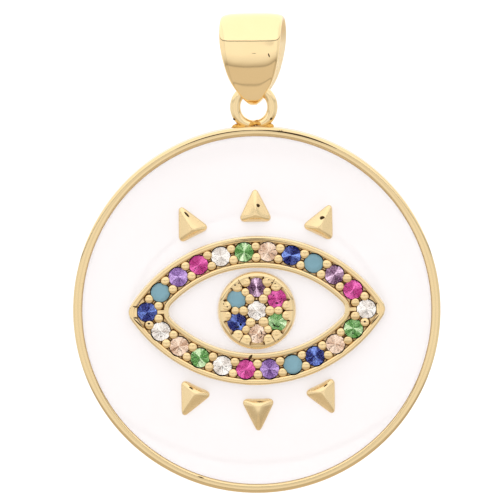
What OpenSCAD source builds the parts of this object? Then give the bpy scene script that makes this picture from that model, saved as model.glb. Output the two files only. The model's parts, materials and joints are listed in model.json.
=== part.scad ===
// Eye pendant: an enamelled disc with a stone-set eye, its ring hung in a seed-shaped bail.
// Millimetres. +Z is up, the face looks along -Y, and the origin is where a chain bears inside the bail.
// Face frame: x across, v up from the disc's centre, h out from the flat back.

/* [Disc] */
// Diameter of the disc over its rim
disc_d = 25; // [24.5:0.1:26]
// Width of the rim seen from the front
rim_w = 0.62; // [0.5:0.02:0.7]
// Height of the rim's crown above the back
rim_h = 1.7; // [1.6:0.05:1.8]
// Thickness of the back plate under the enamel
plate_t = 0.8; // [0.6:0.05:1]
// Height of the enamel's surface above the back
enamel_h = 1.5; // [1.3:0.05:1.55]

/* [Eye frame] */
// Half the width of the eye's outline, to its tip before rounding
eye_half_w = 8.97; // [8.95:0.01:9]
// Half the height of the eye's outline
eye_half_h = 5.16; // [5.14:0.01:5.2]
// Width of the stone-set band, both walls included
band_w = 2.25; // [2.2:0.01:2.3]
// Width of each wall of the band
wall_w = 0.38; // [0.34:0.01:0.4]
// Height of the eye frame and iris above the back
frame_h = 2; // [1.95:0.01:2.05]
// Depth of the channel that the stones sit in
channel_d = 0.25; // [0.2:0.01:0.3]
// Rounding of the eye's outer tips
outer_tip_r = 1; // [0.9:0.05:1.1]
// Rounding of the inner opening's tips
inner_tip_r = 0.75; // [0.7:0.05:0.8]

/* [Stones] */
// Diameter of every stone
stone_d = 1.3; // [1.25:0.01:1.3]
// Angle between neighbouring stones along an eyelid
stone_step = 10; // [9.9:0.05:10.1]
// Distance of the corner stones from the disc's centre line
corner_x = 7.45; // [7.4:0.01:7.5]
// Height of the stones' girdles above the back
girdle_h = 1.8; // [1.78:0.01:1.84]
// Diameter of the beads that hold the stones
bead_d = 0.58; // [0.52:0.02:0.6]

/* [Iris] */
// Diameter of the round iris setting
iris_d = 5.36; // [5.3:0.02:5.4]
// Distance between neighbouring stones in the iris
iris_pitch = 1.58; // [1.56:0.01:1.6]

/* [Lashes] */
// Length of a lash before its corners are rounded
lash_l = 2.15; // [2:0.05:2.4]
// Width of a lash at its base before rounding
lash_w = 2.1; // [2:0.05:2.4]
// Height of a lash's peak above the back
lash_h = 2.15; // [1.9:0.05:2.4]

/* [Ring] */
// Diameter of the ring's wire
ring_wire = 0.72; // [0.68:0.01:0.74]
// Inner diameter of the ring
ring_bore = 1.8; // [1.78:0.01:1.86]
// Height of the ring's centre above the disc's centre
ring_rise = 13.8; // [13.7:0.05:13.9]
// Height above the back of the plane that the ring hangs in
hang_h = 0.72; // [0.7:0.01:0.8]

/* [Bail] */
// Height of the bail over its outside
bail_h = 6.2; // [6:0.1:6.6]
// Radius of the inside of the bail's lower bend
bend_r = 0.6; // [0.57:0.01:0.62]
// Radius of the inside of the bail's top
crown_r = 1.35; // [1.2:0.05:1.5]
// Radius of the bulge in the bail's front and back
bulge_r = 9; // [7:0.5:14]
// Turn of the bail about the upright, as it hangs on the ring
bail_turn = 7; // [0:1:7]

/* [Hidden] */
gap = 0.02;
seat_gap = 0.03;
bead_proud = 0.04;
lash_corner_r = 0.15;

// Brilliant cut, as shares of the stone's diameter
table_share = 0.56;
star_share = 0.79;
crown_share = 0.15;
girdle_share = 0.03;
pavilion_share = 0.42;
lower_share = 0.22;

gold = [0.87, 0.74, 0.49];
white = [0.97, 0.96, 0.95];
clear = [0.93, 0.93, 0.94];
blue = [0.11, 0.15, 0.55];
green = [0.17, 0.62, 0.29];
magenta = [0.78, 0.14, 0.56];
violet = [0.58, 0.39, 0.78];
purple = [0.33, 0.16, 0.42];
champagne = [0.86, 0.69, 0.58];
turquoise = [0.40, 0.64, 0.72];

// Stones of each eyelid from left to right, and of the iris clockwise from the top
upper_lid = [turquoise, violet, magenta, clear, green, champagne, blue, turquoise, purple, magenta];
lower_lid = [clear, champagne, green, clear, magenta, violet, turquoise, blue, champagne, green];
iris_ring = [purple, magenta, green, champagne, blue, turquoise];

// Bail sections: height above the bail's foot, half its width there, and the strip's thickness
BAIL = [
    [0.00, 0.50, 0.48],
    [0.20, 0.58, 0.50],
    [0.50, 0.78, 0.54],
    [0.80, 1.06, 0.58],
    [1.10, 1.28, 0.62],
    [1.70, 1.57, 0.68],
    [2.20, 1.74, 0.72],
    [3.00, 1.90, 0.75],
    [3.80, 2.02, 0.75],
    [4.60, 2.11, 0.75],
    [5.40, 2.16, 0.75],
    [6.20, 2.16, 0.75]
];
SECTION_Z = 0;
SECTION_HALF_W = 1;
SECTION_T = 2;

// Outline of the strip: share of its half width across, and share of its half thickness out
STRIP = [
    [1.00, 0.05], [0.95, 0.40], [0.80, 0.72], [0.45, 0.94],
    [0.00, 1.02], [-0.45, 0.94], [-0.80, 0.72], [-0.95, 0.40],
    [-1.00, 0.05], [-0.84, -0.50], [-0.52, -0.88],
    [0.00, -1.00], [0.52, -0.88], [0.84, -0.50]
];

// Lashes: turn about the eyelid's centre, gap to the eyelid, and lean from the upright
LASHES = [
    [-21.8, 0.81, 26],
    [0, 0.95, 0],
    [21.8, 0.81, -26]
];
LASH_TURN = 0;
LASH_GAP = 1;
LASH_LEAN = 2;

disc_r = disc_d / 2;
stone_r = stone_d / 2;
bead_r = bead_d / 2;
iris_r = iris_d / 2;
channel_h = frame_h - channel_d;
eye_r = (eye_half_w * eye_half_w + eye_half_h * eye_half_h) / (2 * eye_half_h);
eye_c = eye_r - eye_half_h;
stone_arc_r = eye_r - band_w / 2;
ring_r = (ring_bore + ring_wire) / 2;

crown_t = lookup(bail_h, [for (s = BAIL) [s[SECTION_Z], s[SECTION_T]]]);
foot_t = BAIL[0][SECTION_T];
bail_foot_z = crown_t - bail_h;
hinge_z = bail_foot_z + foot_t + bend_r;
disc_z = hinge_z - ring_r - ring_rise;

function unit(p) = p / norm(p);

// An arc's points without its last one, so that arcs chain into an outline
function arc(c, r, from, to, steps) = [
    for (i = [0:steps - 1])
        let (a = from + (to - from) * i / steps)
        c + r * [cos(a), sin(a)]
];

// The eye's pointed oval, drawn in by inset, with its tips rounded
function eye_outline(inset, tip_r) =
    let (r = eye_r - inset,
         tip_x = sqrt(pow(r - tip_r, 2) - pow(eye_c, 2)),
         turn = atan2(eye_c, tip_x))
    concat(
        arc([tip_x, 0], tip_r, -turn, turn, 6),
        arc([0, -eye_c], r, turn, 180 - turn, 32),
        arc([-tip_x, 0], tip_r, 180 - turn, 180 + turn, 6),
        arc([0, eye_c], r, 180 + turn, 360 - turn, 32)
    );

// One rounded corner of a convex outline, between the points before and after it
function round_corner(before, at, after, r, steps) =
    let (u = unit(before - at),
         w = unit(after - at),
         half = acos(u * w) / 2,
         c = at + unit(u + w) * r / sin(half),
         p = at + u * r / tan(half) - c,
         q = at + w * r / tan(half) - c,
         from = atan2(p[1], p[0]),
         sweep = (atan2(q[1], q[0]) - from + 720) % 360)
    [for (i = [0:steps]) let (a = from + sweep * i / steps) c + r * [cos(a), sin(a)]];

// A lash's outline: its base on the x axis and its tip up, grown outwards by grow
function lash_outline(grow) =
    let (side = norm([lash_w / 2, lash_l]),
         tip = [0, lash_l + grow * side / (lash_w / 2)],
         reach = lash_w / 2 + grow * (side + lash_w / 2) / lash_l,
         corners = [[-reach, -grow], [reach, -grow], tip])
    [for (i = [0:2])
        each round_corner(corners[(i + 2) % 3], corners[i], corners[(i + 1) % 3], lash_corner_r + grow, 3)];

function lid_stone(side, i, count) =
    let (a = (i - (count - 1) / 2) * stone_step)
    [stone_arc_r * sin(a), side * (stone_arc_r * cos(a) - eye_c)];

function iris_stone(i) = iris_pitch * [sin(60 * i), cos(60 * i)];

// Stones: node's name, place on the face, colour
STONES = concat(
    [for (i = [0:len(upper_lid) - 1])
        [str("upper_stone_", i + 1), lid_stone(1, i, len(upper_lid)), upper_lid[i]]],
    [for (i = [0:len(lower_lid) - 1])
        [str("lower_stone_", i + 1), lid_stone(-1, i, len(lower_lid)), lower_lid[i]]],
    [["corner_stone_left", [-corner_x, 0], blue], ["corner_stone_right", [corner_x, 0], clear]],
    [["iris_stone_center", [0, 0], clear]],
    [for (i = [0:len(iris_ring) - 1]) [str("iris_stone_", i + 1), iris_stone(i), iris_ring[i]]]
);
STONE_NAME = 0;
STONE_PLACE = 1;
STONE_COLOUR = 2;

// The border's stones in order round the eye, so that beads go between neighbours
BORDER = concat(
    [[-corner_x, 0]],
    [for (i = [0:len(upper_lid) - 1]) lid_stone(1, i, len(upper_lid))],
    [[corner_x, 0]],
    [for (i = [len(lower_lid) - 1:-1:0]) lid_stone(-1, i, len(lower_lid))]
);

module on_face() {
    translate([0, hang_h, disc_z]) rotate([90, 0, 0]) children();
}

function box_outline(l, w) = [[-l, -w] / 2, [l, -w] / 2, [l, w] / 2, [-l, w] / 2];

module plate(outline, from, to) {
    translate([0, 0, from]) linear_extrude(to - from) polygon(outline);
}

module bead(place, r) {
    translate([place[0], place[1], frame_h + bead_proud - r]) sphere(r, $fn = 24);
}

// Back plate and half-round rim in one turned profile
module dish() {
    crown = rim_w / 2;
    back_edge = 0.15;
    profile = concat(
        [[0, 0], [disc_r - back_edge, 0], [disc_r, back_edge]],
        arc([disc_r - crown, rim_h - crown], crown, 0, 180, 10),
        [[disc_r - rim_w, rim_h - crown], [disc_r - rim_w, plate_t], [0, plate_t]]
    );
    rotate_extrude($fn = 96) polygon(profile);
}

// The eye's raised band: two walls with the stones' channel between them
module eye_frame() {
    difference() {
        plate(eye_outline(0, outer_tip_r), plate_t / 2, frame_h);
        plate(eye_outline(band_w, inner_tip_r), 0, frame_h + 1);
        difference() {
            plate(eye_outline(wall_w, outer_tip_r - wall_w), channel_h, frame_h + 1);
            plate(eye_outline(band_w - wall_w, inner_tip_r + wall_w), 0, frame_h + 2);
        }
    }
}

// A flat tab and a small bar hold each corner stone
module corner_holders() {
    holder_l = 0.7;
    tab_w = 0.7;
    bar_w = 0.28;
    bar_drop = 0.05;
    off = stone_r + 0.15;
    for (side = [-1, 1]) {
        translate([side * (corner_x + off), 0, 0])
            plate(box_outline(holder_l, tab_w), plate_t, frame_h);
        translate([side * (corner_x - off), 0, 0])
            plate(box_outline(holder_l, bar_w), plate_t, frame_h - bar_drop);
    }
}

module border_beads() {
    spread = 0.4;
    for (i = [0:len(BORDER) - 1]) {
        a = BORDER[i];
        b = BORDER[(i + 1) % len(BORDER)];
        along = unit(b - a);
        for (side = [-1, 1])
            bead((a + b) / 2 + side * spread * [-along[1], along[0]], bead_r);
    }
}

// The iris: a round boss, recessed for seven stones, with straight cuts behind the outer six
module iris_cup() {
    edge = 0.2;
    recess_r = iris_pitch + stone_r + 0.05;
    profile = concat(
        [[0, plate_t / 2], [iris_r, plate_t / 2]],
        arc([iris_r - edge, frame_h - edge], edge, 0, 90, 4),
        [[iris_r - edge, frame_h], [0, frame_h]]
    );
    difference() {
        rotate_extrude($fn = 96) polygon(profile);
        translate([0, 0, channel_h]) rotate([0, 0, 15])
            cylinder(r = recess_r / cos(15), h = 1, $fn = 12);
    }
}

// At each sixth of the iris: a bead by the centre stone, a small one between two stones, and a pair outside
module iris_beads() {
    inner = iris_pitch / sqrt(3);
    middle = 1.5;
    middle_r = 0.19;
    pair = [2.12, 0.3];
    pair_r = 0.27;
    for (i = [0:5]) rotate([0, 0, 60 * i]) {
        bead([inner, 0], bead_r);
        bead([middle, 0], middle_r);
        for (side = [-1, 1]) bead([pair[0], side * pair[1]], pair_r);
    }
}

// A lash: a three-sided spike that stands up through the enamel
module lash() {
    outline = lash_outline(0);
    count = len(outline);
    peak_from_base = 0.45;
    peak = [0, peak_from_base, lash_h];
    wall_above_enamel = 0.08;
    wall_h = enamel_h + wall_above_enamel;
    polyhedron(
        points = concat(
            [for (p = outline) [p[0], p[1], plate_t / 2]],
            [for (p = outline) [p[0], p[1], wall_h]],
            [peak]
        ),
        faces = concat(
            [[for (i = [0:count - 1]) i]],
            [for (i = [0:count - 1]) let (j = (i + 1) % count) [i, i + count, j + count, j]],
            [for (i = [0:count - 1]) let (j = (i + 1) % count) [i + count, 2 * count, j + count]]
        )
    );
}

module at_lashes() {
    for (flip = [0, 1]) mirror([0, flip, 0])
        for (row = LASHES)
            translate([0, -eye_c, 0]) rotate([0, 0, -row[LASH_TURN]]) translate([0, eye_r + row[LASH_GAP], 0])
                rotate([0, 0, row[LASH_TURN] + row[LASH_LEAN]]) children();
}

// The ring, soldered to the rim with a small fillet
module ring() {
    solder_t = 0.8;
    low_w = 2.7;
    high_w = 1.6;
    low_v = disc_r - 0.2;
    high_v = disc_r + 0.35;
    translate([0, ring_rise, hang_h]) rotate_extrude($fn = 64)
        translate([ring_r, 0]) circle(d = ring_wire, $fn = 32);
    plate([[-low_w / 2, low_v], [low_w / 2, low_v], [high_w / 2, high_v], [-high_w / 2, high_v]],
        hang_h - solder_t / 2, hang_h + solder_t / 2);
}

// Room for a stone: its own shape grown by the seat's gap, and open above its table
module seat() {
    grown = stone_r + seat_gap;
    table_r = stone_r * table_share + seat_gap;
    crown_h = girdle_h + stone_d * (girdle_share + crown_share);
    rotate_extrude($fn = 48) polygon([
        [0, girdle_h - stone_d * pavilion_share - 2 * seat_gap],
        [grown, girdle_h - seat_gap / 2],
        [grown, girdle_h + stone_d * girdle_share + seat_gap / 2],
        [table_r, crown_h + seat_gap],
        [table_r, crown_h + 1],
        [0, crown_h + 1]
    ]);
}

module case() {
    color(gold) on_face() difference() {
        union() {
            dish();
            eye_frame();
            iris_cup();
            corner_holders();
            border_beads();
            iris_beads();
            at_lashes() lash();
            ring();
        }
        for (s = STONES) translate([s[STONE_PLACE][0], s[STONE_PLACE][1], 0]) seat();
    }
}

// White enamel between the rim and the eye, pierced by the lashes
module enamel_field() {
    color(white) on_face() difference() {
        translate([0, 0, plate_t]) cylinder(r = disc_r - rim_w - gap, h = enamel_h - plate_t, $fn = 96);
        plate(eye_outline(-gap, outer_tip_r + gap), 0, enamel_h + 1);
        at_lashes() plate(lash_outline(gap), 0, enamel_h + 1);
    }
}

// White of the eye, between the inner wall and the iris
module enamel_eye() {
    color(white) on_face() difference() {
        plate(eye_outline(band_w + gap, inner_tip_r - gap), plate_t, enamel_h);
        cylinder(r = iris_r + gap, h = enamel_h + 1, $fn = 96);
    }
}

// Round brilliant: table, eight star and eight kite facets, a 16-sided girdle and a pointed pavilion
module stone(row) {
    girdle_t = stone_d * girdle_share;
    table_r = stone_r * table_share;
    star_r = stone_r * star_share;
    lower_r = stone_r * lower_share;
    crown_h = stone_d * crown_share;
    pavilion_h = stone_d * pavilion_share;
    half_step = cos(22.5);
    star_z = girdle_t + crown_h * (stone_r - star_r * half_step) / (stone_r - table_r);
    lower_z = -pavilion_h * (1 - lower_r * half_step / stone_r);
    points = concat(
        [for (k = [0:7]) [table_r * cos(45 * k), table_r * sin(45 * k), girdle_t + crown_h]],
        [for (k = [0:7]) [star_r * cos(45 * k + 22.5), star_r * sin(45 * k + 22.5), star_z]],
        [for (k = [0:15]) [stone_r * cos(22.5 * k), stone_r * sin(22.5 * k), girdle_t]],
        [for (k = [0:15]) [stone_r * cos(22.5 * k), stone_r * sin(22.5 * k), 0]],
        [for (k = [0:7]) [lower_r * cos(45 * k + 22.5), lower_r * sin(45 * k + 22.5), lower_z]],
        [[0, 0, -pavilion_h]]
    );
    star = 8;
    rim_top = 16;
    rim_low = 32;
    low = 48;
    culet = 56;
    faces = concat(
        [[for (k = [7:-1:0]) k]],
        [for (k = [0:7]) [k, (k + 1) % 8, star + k]],
        [for (k = [0:7]) [k, star + k, rim_top + 2 * k, star + (k + 7) % 8]],
        [for (k = [0:7]) [star + k, rim_top + 2 * k + 1, rim_top + 2 * k]],
        [for (k = [0:7]) [star + k, rim_top + (2 * k + 2) % 16, rim_top + 2 * k + 1]],
        [for (k = [0:15]) [rim_top + k, rim_top + (k + 1) % 16, rim_low + (k + 1) % 16, rim_low + k]],
        [for (k = [0:7]) [low + k, rim_low + 2 * k, rim_low + 2 * k + 1]],
        [for (k = [0:7]) [low + k, rim_low + 2 * k + 1, rim_low + (2 * k + 2) % 16]],
        [for (k = [0:7]) [culet, low + (k + 7) % 8, rim_low + 2 * k, low + k]]
    );
    place = row[STONE_PLACE];
    color(row[STONE_COLOUR]) on_face() translate([place[0], place[1], girdle_h])
        polyhedron(points = points, faces = faces);
}

// Points on an arc, each paired with the way out from the arc's centre
function bend(c, r, from, to, steps) = [
    for (i = [0:steps - 1])
        let (a = from + (to - from) * i / steps, out = [cos(a), sin(a)])
        [c + r * out, out]
];

// The strip's middle line from foot to crown on the bail's back: foot bend, long bulge, crown bend
function bail_side() =
    let (foot_r = bend_r + foot_t / 2,
         top_r = crown_r + crown_t / 2,
         foot = [0, hinge_z],
         top = [0, -crown_r],
         rise = top[1] - foot[1],
         to_foot = bulge_r - foot_r,
         to_top = bulge_r - top_r,
         up = (to_foot * to_foot - to_top * to_top + rise * rise) / (2 * rise),
         centre = foot + [-sqrt(to_foot * to_foot - up * up), up],
         foot_turn = atan2(foot[1] - centre[1], foot[0] - centre[0]),
         top_turn = atan2(top[1] - centre[1], top[0] - centre[0]))
    concat(
        bend(foot, foot_r, -90, foot_turn, 8),
        bend(centre, bulge_r, foot_turn, top_turn, 6),
        bend(top, top_r, top_turn, 90, 10),
        [[top + [0, top_r], [0, 1]]]
    );

function bail_section(line) =
    let (low = bail_foot_z + foot_t / 2,
         high = crown_t / 2,
         h = bail_h * (line[0][1] - low) / (high - low),
         half_w = lookup(h, [for (s = BAIL) [s[SECTION_Z], s[SECTION_HALF_W]]]),
         half_t = lookup(h, [for (s = BAIL) [s[SECTION_Z], s[SECTION_T]]]) / 2)
    [for (p = STRIP)
        let (at = line[0] + half_t * p[1] * line[1])
        [half_w * p[0], at[0], at[1]]];

// A folded strip, broad and domed at the top and slim where it passes through the ring
module bail() {
    side = bail_side();
    last = len(side) - 1;
    loop = concat(
        [for (i = [0:last - 1]) side[i]],
        [for (i = [last:-1:1]) [[-side[i][0][0], side[i][0][1]], [-side[i][1][0], side[i][1][1]]]]
    );
    rings = len(loop);
    sides = len(STRIP);
    color(gold) rotate([0, 0, -bail_turn]) polyhedron(
        points = [for (line = loop) each bail_section(line)],
        faces = [for (i = [0:rings - 1], j = [0:sides - 1], half = [0, 1])
            let (next = (i + 1) % rings,
                 turn = (j + 1) % sides,
                 a = i * sides + j,
                 b = next * sides + j,
                 c = next * sides + turn,
                 d = i * sides + turn)
            half == 0 ? [a, b, c] : [a, c, d]]
    );
}

case();
enamel_field();
enamel_eye();
bail();
for (s = STONES) stone(s);
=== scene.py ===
# Eye pendant, finished: gold plate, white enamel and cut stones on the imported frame.
# Sizes are millimetres while a piece is modelled, and its mesh is put in metres as it is placed.
import json
import math
import random

import bmesh
import bpy
from mathutils import Matrix, Vector, noise
from mathutils.bvhtree import BVHTree


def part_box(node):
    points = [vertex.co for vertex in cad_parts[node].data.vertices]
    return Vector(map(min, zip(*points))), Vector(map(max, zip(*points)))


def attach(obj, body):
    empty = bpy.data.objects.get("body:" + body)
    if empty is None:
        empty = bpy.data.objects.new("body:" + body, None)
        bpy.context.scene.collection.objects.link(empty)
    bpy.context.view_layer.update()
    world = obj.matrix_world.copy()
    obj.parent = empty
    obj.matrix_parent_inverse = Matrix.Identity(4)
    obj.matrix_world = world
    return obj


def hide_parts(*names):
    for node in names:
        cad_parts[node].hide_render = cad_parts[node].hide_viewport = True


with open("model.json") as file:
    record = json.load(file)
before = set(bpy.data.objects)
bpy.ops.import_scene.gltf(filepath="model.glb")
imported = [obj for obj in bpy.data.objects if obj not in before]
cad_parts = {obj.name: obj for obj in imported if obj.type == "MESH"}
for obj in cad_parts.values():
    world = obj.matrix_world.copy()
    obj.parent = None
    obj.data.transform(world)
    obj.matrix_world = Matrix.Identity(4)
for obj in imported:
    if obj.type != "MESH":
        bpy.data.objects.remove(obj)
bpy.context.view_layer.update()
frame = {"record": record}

# Camera: a long lens in front of the hanging pendant, a little above it and turned very slightly,
# so that the disc's centre and width fall where they do in the photograph's 500 pixel frame.
MM = 0.001
case_low, case_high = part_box("case")
disc_r = case_high.x / MM
disc_z = case_low.z + case_high.x
back_y = case_high.y
frame_px = 500
disc_centre_px = Vector((256.8, 309.4))
px_per_mm = 14.69
camera_distance = 0.5
camera_elevation = math.radians(4.5)
camera_roll = math.radians(-0.85)
aim_h = 0.9
sensor = 36

camera_data = bpy.data.cameras.new("camera")
camera_data.sensor_width = sensor
camera_data.lens = sensor * px_per_mm * camera_distance / MM / frame_px
camera_data.clip_start = 0.01
camera = bpy.data.objects.new("camera", camera_data)
bpy.context.scene.collection.objects.link(camera)
bpy.context.scene.camera = camera
to_camera = Vector((0, -math.cos(camera_elevation), math.sin(camera_elevation)))
camera_turn = to_camera.to_track_quat("Z", "Y").to_matrix() @ Matrix.Rotation(camera_roll, 3, "Z")
off_centre = (disc_centre_px - Vector((frame_px, frame_px)) / 2) * MM / px_per_mm
face_y = back_y - aim_h * MM
aim = Vector((0, face_y, disc_z)) + camera_turn @ Vector((-off_centre.x, off_centre.y, 0))
camera.matrix_world = Matrix.Translation(aim + to_camera * camera_distance) @ camera_turn.to_4x4()

# Floor: a wide round sheet of pale paper under the pendant, with its sizes in metres. The metal
# mirrors the tent instead of it.
floor_z = -0.06
floor_reach = 4
paper_white = 0.93
bm = bmesh.new()
bmesh.ops.create_circle(bm, cap_ends=True, segments=64, radius=floor_reach,
                        matrix=Matrix.Translation((0, 0, floor_z)))
floor_mesh = bpy.data.meshes.new("floor")
bm.to_mesh(floor_mesh)
bm.free()
floor_paint = bpy.data.materials.new("floor_paper")
floor_paint.use_nodes = True
paper = floor_paint.node_tree.nodes["Principled BSDF"]
paper.inputs["Base Color"].default_value = (paper_white, paper_white, paper_white, 1)
paper.inputs["Roughness"].default_value = 0.9
floor_mesh.materials.append(floor_paint)
floor = bpy.data.objects.new("floor", floor_mesh)
bpy.context.scene.collection.objects.link(floor)
floor.visible_glossy = False

# Studio: a white light tent round the pendant. Its ceiling is the brightest part, thin dark seams
# part the panels, and the paper below is dimmer, which gives polished gold its bands and lines.
tent = bpy.data.worlds.new("light_tent")
bpy.context.scene.world = tent
tent.use_nodes = True
nodes = tent.node_tree.nodes
links = tent.node_tree.links
direction = nodes.new("ShaderNodeTexCoord").outputs["Generated"]
split = nodes.new("ShaderNodeSeparateXYZ")
links.new(direction, split.inputs[0])


def tent_ramp(value, low, high, stops):
    """A grey level that follows one direction value through (value, level) stops."""
    share = nodes.new("ShaderNodeMapRange")
    share.inputs["From Min"].default_value = low
    share.inputs["From Max"].default_value = high
    links.new(value, share.inputs["Value"])
    ramp = nodes.new("ShaderNodeFloatCurve")
    points = ramp.mapping.curves[0].points
    while len(points) > 2:
        points.remove(points[1])
    brightest = 2
    for i, (at, level) in enumerate(stops):
        place = ((at - low) / (high - low), level / brightest)
        if i == 0:
            points[0].location = place
        elif i == len(stops) - 1:
            points[len(points) - 1].location = place
        else:
            points.new(*place)
    for point in points:
        point.handle_type = "VECTOR"
    ramp.mapping.use_clip = False
    ramp.mapping.update()
    links.new(share.outputs[0], ramp.inputs["Value"])
    scale = nodes.new("ShaderNodeMath")
    scale.operation = "MULTIPLY"
    scale.inputs[1].default_value = brightest
    links.new(ramp.outputs[0], scale.inputs[0])
    return scale.outputs[0]


ceiling_light = 1.35
front_light = 1.12
back_light = 1.02
paper_light = 0.76
seam_light = 0.3
cloth_white = (1, 1, 1, 1)
paper_cream = (1, 0.91, 0.80, 1)
by_height = tent_ramp(split.outputs["Z"], -1, 1, [
    (-1.00, 0.78),
    (-0.78, 0.80),
    (-0.76, 0.45),
    (-0.74, paper_light),
    (-0.51, paper_light),
    (-0.49, 0.40),
    (-0.47, 0.60),
    (-0.41, 0.90),
    (-0.30, front_light),
    (0.195, front_light),
    (0.205, seam_light),
    (0.250, seam_light),
    (0.265, ceiling_light),
    (1.00, ceiling_light),
])
by_side = tent_ramp(split.outputs["X"], -1, 1, [
    (-1.00, 0.92),
    (-0.66, 0.92),
    (-0.64, 0.70),
    (-0.62, 1.00),
    (0.56, 1.00),
    (0.58, 0.65),
    (0.60, 0.84),
    (1.00, 0.84),
])
by_height_behind = tent_ramp(split.outputs["Z"], -1, 1, [
    (-1.00, back_light),
    (0.15, back_light),
    (0.40, ceiling_light),
    (1.00, ceiling_light),
])
front = nodes.new("ShaderNodeMath")
front.operation = "MULTIPLY"
links.new(by_height, front.inputs[0])
links.new(by_side, front.inputs[1])
behind = nodes.new("ShaderNodeMapRange")
behind.inputs["From Min"].default_value = -0.1
behind.inputs["From Max"].default_value = 0.5
links.new(split.outputs["Y"], behind.inputs["Value"])
panels = nodes.new("ShaderNodeMix")
links.new(behind.outputs[0], panels.inputs["Factor"])
links.new(front.outputs[0], panels.inputs["A"])
links.new(by_height_behind, panels.inputs["B"])
paper_share = nodes.new("ShaderNodeMapRange")
paper_share.inputs["From Min"].default_value = -0.38
paper_share.inputs["From Max"].default_value = -0.50
links.new(split.outputs["Z"], paper_share.inputs["Value"])
tent_colour = nodes.new("ShaderNodeMix")
tent_colour.data_type = "RGBA"
tent_colour.inputs["A"].default_value = cloth_white
tent_colour.inputs["B"].default_value = paper_cream
links.new(paper_share.outputs[0], tent_colour.inputs["Factor"])
links.new(tent_colour.outputs["Result"], nodes["Background"].inputs["Color"])

# The lens looks in through a hole in the front cloth, and the tent is a little darker there
hole_r = 0.08
hole_edge_r = 0.26
hole_light = 0.82
off_lens = nodes.new("ShaderNodeVectorMath")
off_lens.operation = "DISTANCE"
links.new(direction, off_lens.inputs[0])
off_lens.inputs[1].default_value = to_camera
lens_shade = nodes.new("ShaderNodeMapRange")
lens_shade.interpolation_type = "SMOOTHSTEP"
lens_shade.inputs["From Min"].default_value = hole_r
lens_shade.inputs["From Max"].default_value = hole_edge_r
lens_shade.inputs["To Min"].default_value = hole_light
links.new(off_lens.outputs["Value"], lens_shade.inputs["Value"])
tent_light = nodes.new("ShaderNodeMath")
tent_light.operation = "MULTIPLY"
links.new(panels.outputs[0], tent_light.inputs[0])
links.new(lens_shade.outputs[0], tent_light.inputs[1])
links.new(tent_light.outputs[0], nodes["Background"].inputs["Strength"])
bpy.context.scene.view_settings.view_transform = "Standard"

# Plate and rim: one brass casting, turned and polished, plated with pale gold. The back is flat,
# and the rim, with its low round top, is the dam that holds the enamel.
on_face = (Matrix.Translation((0, back_y, disc_z)) @ Matrix.Rotation(math.radians(90), 4, "X")
           @ Matrix.Scale(MM, 4))
rim_w = 0.67
rim_h = 1.7
plate_t = 0.8
rim_dome_h = 0.16
rim_mid_r = disc_r - rim_w / 2
back_edge = 0.15
pale_gold = (0.96, 0.745, 0.425)
deep_gold = (0.94, 0.715, 0.39)
# The dark brown of painted shade, with some old polish, in the metal's recesses
polish_and_shade_brown = (0.20, 0.09, 0.03, 1)
recess_w = 0.25


def arc(centre, radius, start, end, steps):
    """Points on an arc from one angle to another, in degrees, both ends included."""
    angles = [math.radians(start + (end - start) * i / steps) for i in range(steps + 1)]
    return [(centre[0] + radius * math.cos(a), centre[1] + radius * math.sin(a)) for a in angles]


def turned(profile, steps):
    """A piece turned round the face's axis from (radius, height) pairs."""
    bm = bmesh.new()
    verts = [bm.verts.new((r, 0, h)) for r, h in profile]
    edges = [bm.edges.new(pair) for pair in zip(verts, verts[1:])]
    bmesh.ops.spin(bm, geom=verts + edges, cent=(0, 0, 0), axis=(0, 0, 1),
                   angle=math.tau, steps=steps, use_merge=True)
    bmesh.ops.remove_doubles(bm, verts=bm.verts, dist=0.0001)
    bmesh.ops.recalc_face_normals(bm, faces=bm.faces)
    return bm


def placed(name, bm, place, materials, sharp_angle=35):
    """The finished mesh as an object at the origin, smooth but for edges sharper than the angle."""
    bmesh.ops.transform(bm, matrix=place, verts=bm.verts)
    mesh = bpy.data.meshes.new(name)
    bm.to_mesh(mesh)
    bm.free()
    mesh.shade_smooth()
    mesh.set_sharp_from_angle(angle=math.radians(sharp_angle))
    for material in materials if isinstance(materials, tuple) else (materials,):
        mesh.materials.append(material)
    piece = bpy.data.objects.new(name, mesh)
    bpy.context.scene.collection.objects.link(piece)
    return piece


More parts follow.
